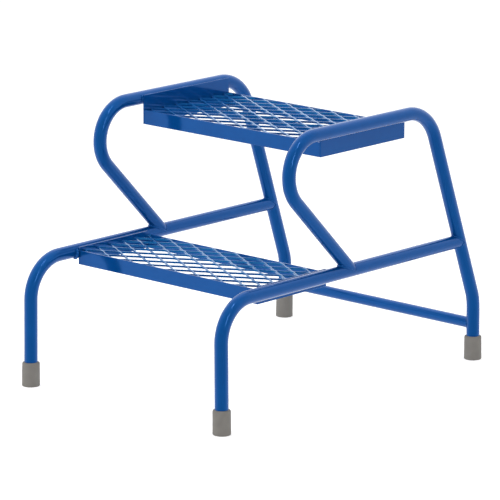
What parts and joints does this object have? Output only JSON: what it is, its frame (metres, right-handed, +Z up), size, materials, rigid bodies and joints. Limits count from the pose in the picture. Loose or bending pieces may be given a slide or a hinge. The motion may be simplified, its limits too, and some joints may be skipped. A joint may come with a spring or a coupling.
{
  "type": "mounting block",
  "caption": "Freestanding two-step mounting block: bent steel tube side frames, expanded metal treads and rubber feet.",
  "frame": {"origin": "on the ground, midway between the feet in both directions", "axes": "+Z up, +Y from the low tread at the front to the high tread at the back, +X to the right when facing +Y"},
  "size_m": [0.5164, 0.744, 0.5172],
  "materials": {
    "frame_paint": "glossy blue powder coat",
    "tread_paint": "glossy blue powder coat on flat bar",
    "mesh_paint": "glossy blue powder coat on expanded metal",
    "foot_rubber": "matte grey moulded rubber",
    "washer_zinc": "zinc plated"
  },
  "bodies": {
    "root": {"left_lower_frame_tube": "frame_paint", "left_upper_frame_tube": "frame_paint", "right_lower_frame_tube": "frame_paint", "right_upper_frame_tube": "frame_paint", "back_cross_tube": "frame_paint", "lower_tread_front_rail": "tread_paint", "lower_tread_back_rail": "tread_paint", "lower_tread_left_end_plate": "tread_paint", "lower_tread_right_end_plate": "tread_paint", "upper_tread_front_rail": "tread_paint", "upper_tread_back_rail": "tread_paint", "upper_tread_left_end_plate": "tread_paint", "upper_tread_right_end_plate": "tread_paint", "upper_tread_centre_bar": "tread_paint", "lower_tread_mesh": "mesh_paint", "upper_tread_mesh": "mesh_paint", "left_front_foot": "foot_rubber", "left_back_foot": "foot_rubber", "right_front_foot": "foot_rubber", "right_back_foot": "foot_rubber", "left_front_foot_washer": "washer_zinc", "left_back_foot_washer": "washer_zinc", "right_front_foot_washer": "washer_zinc", "right_back_foot_washer": "washer_zinc"}
  },
  "joints": []
}
